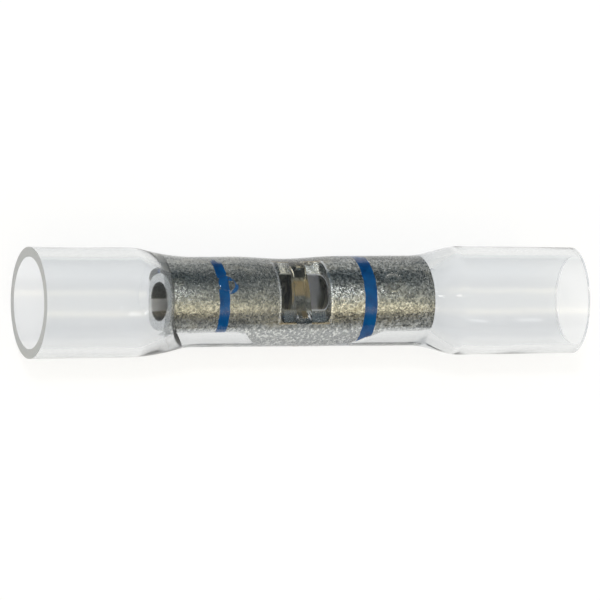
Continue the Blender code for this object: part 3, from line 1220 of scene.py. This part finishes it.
def add_piece(
    name: str,
    bm: bmesh.types.BMesh,
    materials: Sequence[bpy.types.Material],
    sharp_degrees: float,
) -> bpy.types.Object:
    """Makes a finished piece of a bmesh, at the origin, and gives it its finishes.

    Args:
        name: The piece's name.
        bm: Its mesh, which is freed.
        materials: Its finishes, in the order of its faces' numbers.
        sharp_degrees: Edges sharper than this stay sharp.

    Returns:
        The piece.
    """
    mesh = bpy.data.meshes.new(name)
    bm.to_mesh(mesh)
    bm.free()
    mesh.shade_smooth()
    mesh.set_sharp_from_angle(angle=math.radians(sharp_degrees))
    for material in materials:
        mesh.materials.append(material)
    piece = bpy.data.objects.new(name, mesh)
    bpy.context.scene.collection.objects.link(piece)
    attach(piece, "root")
    LOG.info("%s: %d faces", name, len(mesh.polygons))
    return piece


@dataclass(frozen=True)
class Lamp:
    """A round lamp, far away."""

    name: str
    strength: float
    width: float
    turn: float
    aside: float = -0.05

    def build(self) -> None:
        """Hangs the lamp at its turn from the front towards the top, and aside along X."""
        data = bpy.data.lights.new(self.name, "SUN")
        data.energy = self.strength
        data.angle = self.width
        lamp = bpy.data.objects.new(self.name, data)
        towards = Vector((self.aside, -math.cos(self.turn), math.sin(self.turn)))
        lamp.rotation_euler = towards.to_track_quat("Z", "Y").to_euler()
        bpy.context.scene.collection.objects.link(lamp)


@dataclass
class Studio:
    """A plain white floor under a soft sky, with a wide lamp overhead and a small one in front.

    The floor looks the same to the camera, in metal and through the clear sleeve.
    """

    floor_size: float = 3.0
    floor_colour: tuple[float, float, float] = (0.86, 0.86, 0.86)
    shown_colour: tuple[float, float, float] = (0.22, 0.22, 0.22)
    shown_lift: float = 0.81
    sky_strength: float = 4.4
    side_tone: tuple[float, float, float] = (0.20, 0.20, 0.19)
    side_from: float = 0.55
    side_full: float = 0.95
    lamps: tuple[Lamp, ...] = (
        Lamp("wide_lamp", 0.65, math.radians(9), math.radians(93.5), aside=-0.25),
        Lamp("small_lamp", 0.08, math.radians(5), math.radians(75)),
    )

    def floor(self) -> None:
        """Lays the floor, which reads as white where no shadow falls."""
        bm = bmesh.new()
        bmesh.ops.create_grid(bm, x_segments=1, y_segments=1, size=self.floor_size / 2)
        mesh = bpy.data.meshes.new("floor")
        bm.to_mesh(mesh)
        bm.free()
        floor = bpy.data.objects.new("floor", mesh)
        bpy.context.scene.collection.objects.link(floor)
        material, graph = new_material("white_floor")
        matte = graph.node("ShaderNodeBsdfDiffuse", sockets={"Color": (*self.floor_colour, 1.0)})
        shade = graph.node("ShaderNodeBsdfDiffuse", sockets={"Color": (*self.shown_colour, 1.0)})
        glow = graph.node("ShaderNodeEmission", sockets={"Strength": self.shown_lift})
        white = graph.node("ShaderNodeAddShader", sockets={0: shade, 1: glow})
        seen, glossy, passing = (
            graph.node("ShaderNodeLightPath", output=name)
            for name in ("Is Camera Ray", "Is Glossy Ray", "Is Transmission Ray")
        )
        shown = (seen + glossy + passing).math("MINIMUM", 1.0)
        look = graph.node("ShaderNodeMixShader", sockets={0: shown, 1: matte, 2: white})
        graph.node("ShaderNodeOutputMaterial", sockets={"Surface": look})
        mesh.materials.append(material)

    def sky(self) -> None:
        """Makes the sky: warm and bright in front, grey overhead and dark low at the back."""
        world = bpy.data.worlds.new("soft_studio")
        bpy.context.scene.world = world
        world.use_nodes = True
        graph = Graph(world.node_tree)
        spot = graph.node("ShaderNodeTexCoord", output="Generated")
        x, y, z = graph.split(spot)
        turn = graph.math("ARCTAN2", z, 0.0 - y) / math.pi
        stops = [
            (0.000, (0.015, 0.015, 0.015)),
            (0.100, (0.030, 0.027, 0.024)),
            (0.150, (0.090, 0.080, 0.065)),
            (0.185, (0.400, 0.355, 0.260)),
            (0.215, (0.850, 0.750, 0.530)),
            (0.245, (0.750, 0.675, 0.490)),
            (0.285, (0.350, 0.325, 0.255)),
            (0.360, (0.205, 0.202, 0.172)),
            (0.500, (0.125, 0.130, 0.124)),
            (0.660, (0.095, 0.102, 0.103)),
            (0.800, (0.022, 0.030, 0.035)),
            (0.930, (0.018, 0.025, 0.030)),
            (1.000, (0.070, 0.080, 0.090)),
        ]
        sweep = graph.node("ShaderNodeValToRGB", {"stops": stops}, {0: turn})
        aside = abs(x).rise(self.side_from, self.side_full)
        tone = graph.blend(aside, sweep, self.side_tone)
        sockets = {"Color": tone, "Strength": self.sky_strength}
        sky = graph.node("ShaderNodeBackground", sockets=sockets)
        graph.node("ShaderNodeOutputWorld", sockets={"Surface": sky})

    def build(self) -> None:
        """Makes the floor, the lamps and the sky."""
        self.floor()
        for lamp in self.lamps:
            lamp.build()
        self.sky()


@dataclass
class Eye:
    """The camera, at the photograph's viewing angle."""

    out_of_plane: float = math.radians(19.9)
    over_front: float = math.radians(65.0)
    roll: float = math.radians(0.40)
    distance: float = 1.2
    frame_pixels: float = 600.0
    pixels_per_mm: float = 15.17
    middle: tuple[float, float] = (302.0, 301.2)
    clip: tuple[float, float] = (0.01, 20.0)

    def build(self) -> None:
        """Makes the camera and points it."""
        away = math.cos(self.out_of_plane)
        back = Vector(
            (
                -math.sin(self.out_of_plane),
                -away * math.cos(self.over_front),
                away * math.sin(self.over_front),
            )
        )
        across = Vector((1, 0, 0)) - back * back.x
        across.normalize()
        up = back.cross(across)
        right = across * math.cos(self.roll) - up * math.sin(self.roll)
        up = back.cross(right)
        pixel = MM / self.pixels_per_mm
        frame_width = self.frame_pixels * pixel
        centre = Vector((0, 0, PLACES.axis_height))
        half = self.frame_pixels / 2
        centre += right * (half - self.middle[0]) * pixel
        centre += up * (self.middle[1] - half) * pixel
        turn = Matrix((right, up, back)).transposed().to_4x4()
        data = bpy.data.cameras.new("eye")
        data.lens = data.sensor_width * self.distance / frame_width
        data.clip_start, data.clip_end = self.clip
        camera = bpy.data.objects.new("eye", data)
        camera.matrix_world = Matrix.Translation(centre + back * self.distance) @ turn
        bpy.context.scene.collection.objects.link(camera)
        bpy.context.scene.camera = camera


def main() -> None:
    """Builds the pieces, the studio and the camera."""
    logging.basicConfig(level=logging.INFO, format="%(name)s %(message)s")
    bpy.context.scene.view_settings.view_transform = "Standard"
    window = Window()
    finishes = {
        SleevePart.CLEAR: ClearFinish(),
        SleevePart.CUT_RIM: MilkyFinish("cut_rim"),
        SleevePart.MELTED_LIP: MilkyFinish(
            "melted_lining", milk=(0.94, 0.96, 0.99), clear=0.87, matt=0.04
        ),
    }
    materials = [finishes[part].build() for part in SleevePart]
    sleeve = Sleeve().build(materials, window)
    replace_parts(sleeve, "heat_shrink_sleeve")
    barrel = Barrel().build(TinFinish().build(), window)
    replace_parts(barrel, "crimp_barrel")
    rings = (
        InkRing("blue_ring_left", "ink_band_left", InkFinish("blue_ink_left"), seed=2.0),
        InkRing(
            "blue_ring_right",
            "ink_band_right",
            InkFinish("blue_ink_right", dry_from=2.8, dry_to=3.3),
            seed=5.0,
        ),
    )
    for ring in rings:
        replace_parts(ring.build(), ring.node)
    Studio().build()
    Eye().build()


if __name__ == "__main__":
    main()
